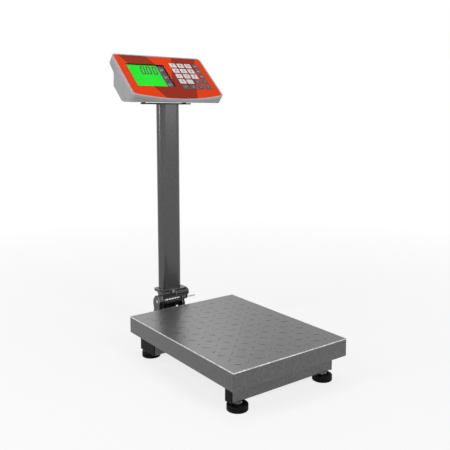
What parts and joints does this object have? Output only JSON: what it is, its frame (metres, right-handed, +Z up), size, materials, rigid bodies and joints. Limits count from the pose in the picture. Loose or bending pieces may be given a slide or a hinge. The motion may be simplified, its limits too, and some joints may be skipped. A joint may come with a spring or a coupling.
{
  "type": "platform shipping scale",
  "caption": "Bench platform scale with a sheet-steel tray on a framed base, levelling feet, a folding mast and a tilting indicator head with display and keypad.",
  "frame": {"origin": "on the floor, under the centre of the whole outline, feet screwed in and mast upright", "axes": "+Z up; -Y is the front, where the user stands; +X is the user's right, where the lock rod sticks out"},
  "size_m": [0.3, 0.5272, 0.7053],
  "materials": {
    "hammer_paint": "grey hammertone paint",
    "black_plastic": "black, matte",
    "black_paint": "black powder coat",
    "hinge_paint": "dark grey paint on a casting",
    "cell_aluminium": "satin",
    "zinc_steel": "zinc plated",
    "black_rubber": "matte",
    "chrome_rod": "bright",
    "spring_steel": "bright",
    "grey_plastic": "fine texture",
    "orange_overlay": "printed film",
    "clear_pane": "clear",
    "green_panel": "backlit",
    "board": "solder resist",
    "battery_case": "moulded",
    "white_key": "printed",
    "dark_key": "printed"
  },
  "bodies": {
    "base": {"front_cross_tube": "hammer_paint", "rear_cross_tube": "hammer_paint", "tube_end_caps": "black_plastic", "spine_channel": "hammer_paint", "load_cell": "cell_aluminium", "cell_spacers": "zinc_steel", "cell_bolts": "zinc_steel", "pan_spider": "hammer_paint", "pan_bumpers": "black_rubber", "foot_lock_nuts": "zinc_steel", "mast_bracket": "hammer_paint", "bracket_bolts": "zinc_steel", "hinge_base": "hinge_paint"},
    "pan": {"platform_pan": "hammer_paint"},
    "mast": {"mast_tube": "hammer_paint", "hinge_head": "hinge_paint", "hinge_head_bolts": "zinc_steel", "head_bracket": "black_paint", "lock_spring": "spring_steel"},
    "lock": {"lock_rod": "chrome_rod"},
    "head": {"rear_case": "grey_plastic", "front_bezel": "grey_plastic", "face_overlay": "orange_overlay", "lcd_window": "clear_pane", "lcd_panel": "green_panel", "main_board": "board", "battery": "battery_case", "case_screws": "zinc_steel", "charge_socket": "black_plastic", "tilt_bolts": "zinc_steel"},
    "rocker": {"power_switch": "black_plastic"},
    "foot_pad_1": {"foot_pad_1": "black_rubber"},
    "foot_stud_1": {"foot_stud_1": "zinc_steel"},
    "foot_pad_2": {"foot_pad_2": "black_rubber"},
    "foot_stud_2": {"foot_stud_2": "zinc_steel"},
    "foot_pad_3": {"foot_pad_3": "black_rubber"},
    "foot_stud_3": {"foot_stud_3": "zinc_steel"},
    "foot_pad_4": {"foot_pad_4": "black_rubber"},
    "foot_stud_4": {"foot_stud_4": "zinc_steel"},
    "key_7": {"key_7": "white_key"},
    "key_8": {"key_8": "white_key"},
    "key_9": {"key_9": "white_key"},
    "key_memory_1": {"key_memory_1": "dark_key"},
    "key_4": {"key_4": "white_key"},
    "key_5": {"key_5": "white_key"},
    "key_6": {"key_6": "white_key"},
    "key_memory_2": {"key_memory_2": "dark_key"},
    "key_1": {"key_1": "white_key"},
    "key_2": {"key_2": "white_key"},
    "key_3": {"key_3": "white_key"},
    "key_memory_3": {"key_memory_3": "dark_key"},
    "key_0": {"key_0": "white_key"},
    "key_point": {"key_point": "white_key"},
    "key_clear": {"key_clear": "dark_key"},
    "key_total": {"key_total": "dark_key"},
    "key_tare": {"key_tare": "dark_key"},
    "key_zero": {"key_zero": "dark_key"},
    "key_unit_price": {"key_unit_price": "dark_key"},
    "key_backlight": {"key_backlight": "dark_key"}
  },
  "joints": [
    {"name": "pan_lift", "type": "slide", "parent": "base", "child": "pan", "axis": [0, 0, -1], "range_m": [-0.12, 0]},
    {"name": "mast_fold", "type": "hinge", "parent": "base", "child": "mast", "pos_m": [0, 0.18737, 0.0955], "axis": [1, 0, 0], "range_deg": [0, 90]},
    {"name": "lock_pull", "type": "slide", "parent": "mast", "child": "lock", "axis": [1, 0, 0], "range_m": [0, 0.008], "stiffness_N_per_m": 800, "deforming": ["lock_spring"]},
    {"name": "head_tilt", "type": "hinge", "parent": "mast", "child": "head", "pos_m": [0, 0.22037, 0.598], "axis": [1, 0, 0], "range_deg": [-30, 3]},
    {"name": "power_rocker", "type": "hinge", "parent": "head", "child": "rocker", "pos_m": [0.086, 0.21931, 0.61253], "axis": [1, 0, 0], "range_deg": [0, 14]},
    {"name": "foot_slide_1", "type": "slide", "parent": "base", "child": "foot_pad_1", "axis": [0, 0, -1], "range_m": [0, 0.0099]},
    {"name": "foot_turn_1", "type": "hinge", "parent": "foot_pad_1", "child": "foot_stud_1", "pos_m": [-0.1137, -0.22863, 0.012], "axis": [0, 0, -1], "range_deg": [0, 2378]},
    {"name": "foot_slide_2", "type": "slide", "parent": "base", "child": "foot_pad_2", "axis": [0, 0, -1], "range_m": [0, 0.0099]},
    {"name": "foot_turn_2", "type": "hinge", "parent": "foot_pad_2", "child": "foot_stud_2", "pos_m": [0.1137, -0.22863, 0.012], "axis": [0, 0, -1], "range_deg": [0, 2378]},
    {"name": "foot_slide_3", "type": "slide", "parent": "base", "child": "foot_pad_3", "axis": [0, 0, -1], "range_m": [0, 0.0099]},
    {"name": "foot_turn_3", "type": "hinge", "parent": "foot_pad_3", "child": "foot_stud_3", "pos_m": [-0.1137, 0.10137, 0.012], "axis": [0, 0, -1], "range_deg": [0, 2378]},
    {"name": "foot_slide_4", "type": "slide", "parent": "base", "child": "foot_pad_4", "axis": [0, 0, -1], "range_m": [0, 0.0099]},
    {"name": "foot_turn_4", "type": "hinge", "parent": "foot_pad_4", "child": "foot_stud_4", "pos_m": [0.1137, 0.10137, 0.012], "axis": [0, 0, -1], "range_deg": [0, 2378]},
    {"name": "key_7_press", "type": "slide", "parent": "head", "child": "key_7", "axis": [0, 0.6717, -0.7408], "range_m": [0, 0.0005], "stiffness_N_per_m": 3000},
    {"name": "key_8_press", "type": "slide", "parent": "head", "child": "key_8", "axis": [0, 0.6717, -0.7408], "range_m": [0, 0.0005], "stiffness_N_per_m": 3000},
    {"name": "key_9_press", "type": "slide", "parent": "head", "child": "key_9", "axis": [0, 0.6717, -0.7408], "range_m": [0, 0.0005], "stiffness_N_per_m": 3000},
    {"name": "key_memory_1_press", "type": "slide", "parent": "head", "child": "key_memory_1", "axis": [0, 0.6717, -0.7408], "range_m": [0, 0.0005], "stiffness_N_per_m": 3000},
    {"name": "key_4_press", "type": "slide", "parent": "head", "child": "key_4", "axis": [0, 0.6717, -0.7408], "range_m": [0, 0.0005], "stiffness_N_per_m": 3000},
    {"name": "key_5_press", "type": "slide", "parent": "head", "child": "key_5", "axis": [0, 0.6717, -0.7408], "range_m": [0, 0.0005], "stiffness_N_per_m": 3000},
    {"name": "key_6_press", "type": "slide", "parent": "head", "child": "key_6", "axis": [0, 0.6717, -0.7408], "range_m": [0, 0.0005], "stiffness_N_per_m": 3000},
    {"name": "key_memory_2_press", "type": "slide", "parent": "head", "child": "key_memory_2", "axis": [0, 0.6717, -0.7408], "range_m": [0, 0.0005], "stiffness_N_per_m": 3000},
    {"name": "key_1_press", "type": "slide", "parent": "head", "child": "key_1", "axis": [0, 0.6717, -0.7408], "range_m": [0, 0.0005], "stiffness_N_per_m": 3000},
    {"name": "key_2_press", "type": "slide", "parent": "head", "child": "key_2", "axis": [0, 0.6717, -0.7408], "range_m": [0, 0.0005], "stiffness_N_per_m": 3000},
    {"name": "key_3_press", "type": "slide", "parent": "head", "child": "key_3", "axis": [0, 0.6717, -0.7408], "range_m": [0, 0.0005], "stiffness_N_per_m": 3000},
    {"name": "key_memory_3_press", "type": "slide", "parent": "head", "child": "key_memory_3", "axis": [0, 0.6717, -0.7408], "range_m": [0, 0.0005], "stiffness_N_per_m": 3000},
    {"name": "key_0_press", "type": "slide", "parent": "head", "child": "key_0", "axis": [0, 0.6717, -0.7408], "range_m": [0, 0.0005], "stiffness_N_per_m": 3000},
    {"name": "key_point_press", "type": "slide", "parent": "head", "child": "key_point", "axis": [0, 0.6717, -0.7408], "range_m": [0, 0.0005], "stiffness_N_per_m": 3000},
    {"name": "key_clear_press", "type": "slide", "parent": "head", "child": "key_clear", "axis": [0, 0.6717, -0.7408], "range_m": [0, 0.0005], "stiffness_N_per_m": 3000},
    {"name": "key_total_press", "type": "slide", "parent": "head", "child": "key_total", "axis": [0, 0.6717, -0.7408], "range_m": [0, 0.0005], "stiffness_N_per_m": 3000},
    {"name": "key_tare_press", "type": "slide", "parent": "head", "child": "key_tare", "axis": [0, 0.6717, -0.7408], "range_m": [0, 0.0005], "stiffness_N_per_m": 3000},
    {"name": "key_zero_press", "type": "slide", "parent": "head", "child": "key_zero", "axis": [0, 0.6717, -0.7408], "range_m": [0, 0.0005], "stiffness_N_per_m": 3000},
    {"name": "key_unit_price_press", "type": "slide", "parent": "head", "child": "key_unit_price", "axis": [0, 0.6717, -0.7408], "range_m": [0, 0.0005], "stiffness_N_per_m": 3000},
    {"name": "key_backlight_press", "type": "slide", "parent": "head", "child": "key_backlight", "axis": [0, 0.6717, -0.7408], "range_m": [0, 0.0005], "stiffness_N_per_m": 3000}
  ],
  "couplings": [
    {"joint": "foot_turn_1", "follows": "foot_slide_1", "rad_per_m": 4188.8},
    {"joint": "foot_turn_2", "follows": "foot_slide_2", "rad_per_m": 4188.8},
    {"joint": "foot_turn_3", "follows": "foot_slide_3", "rad_per_m": 4188.8},
    {"joint": "foot_turn_4", "follows": "foot_slide_4", "rad_per_m": 4188.8}
  ]
}
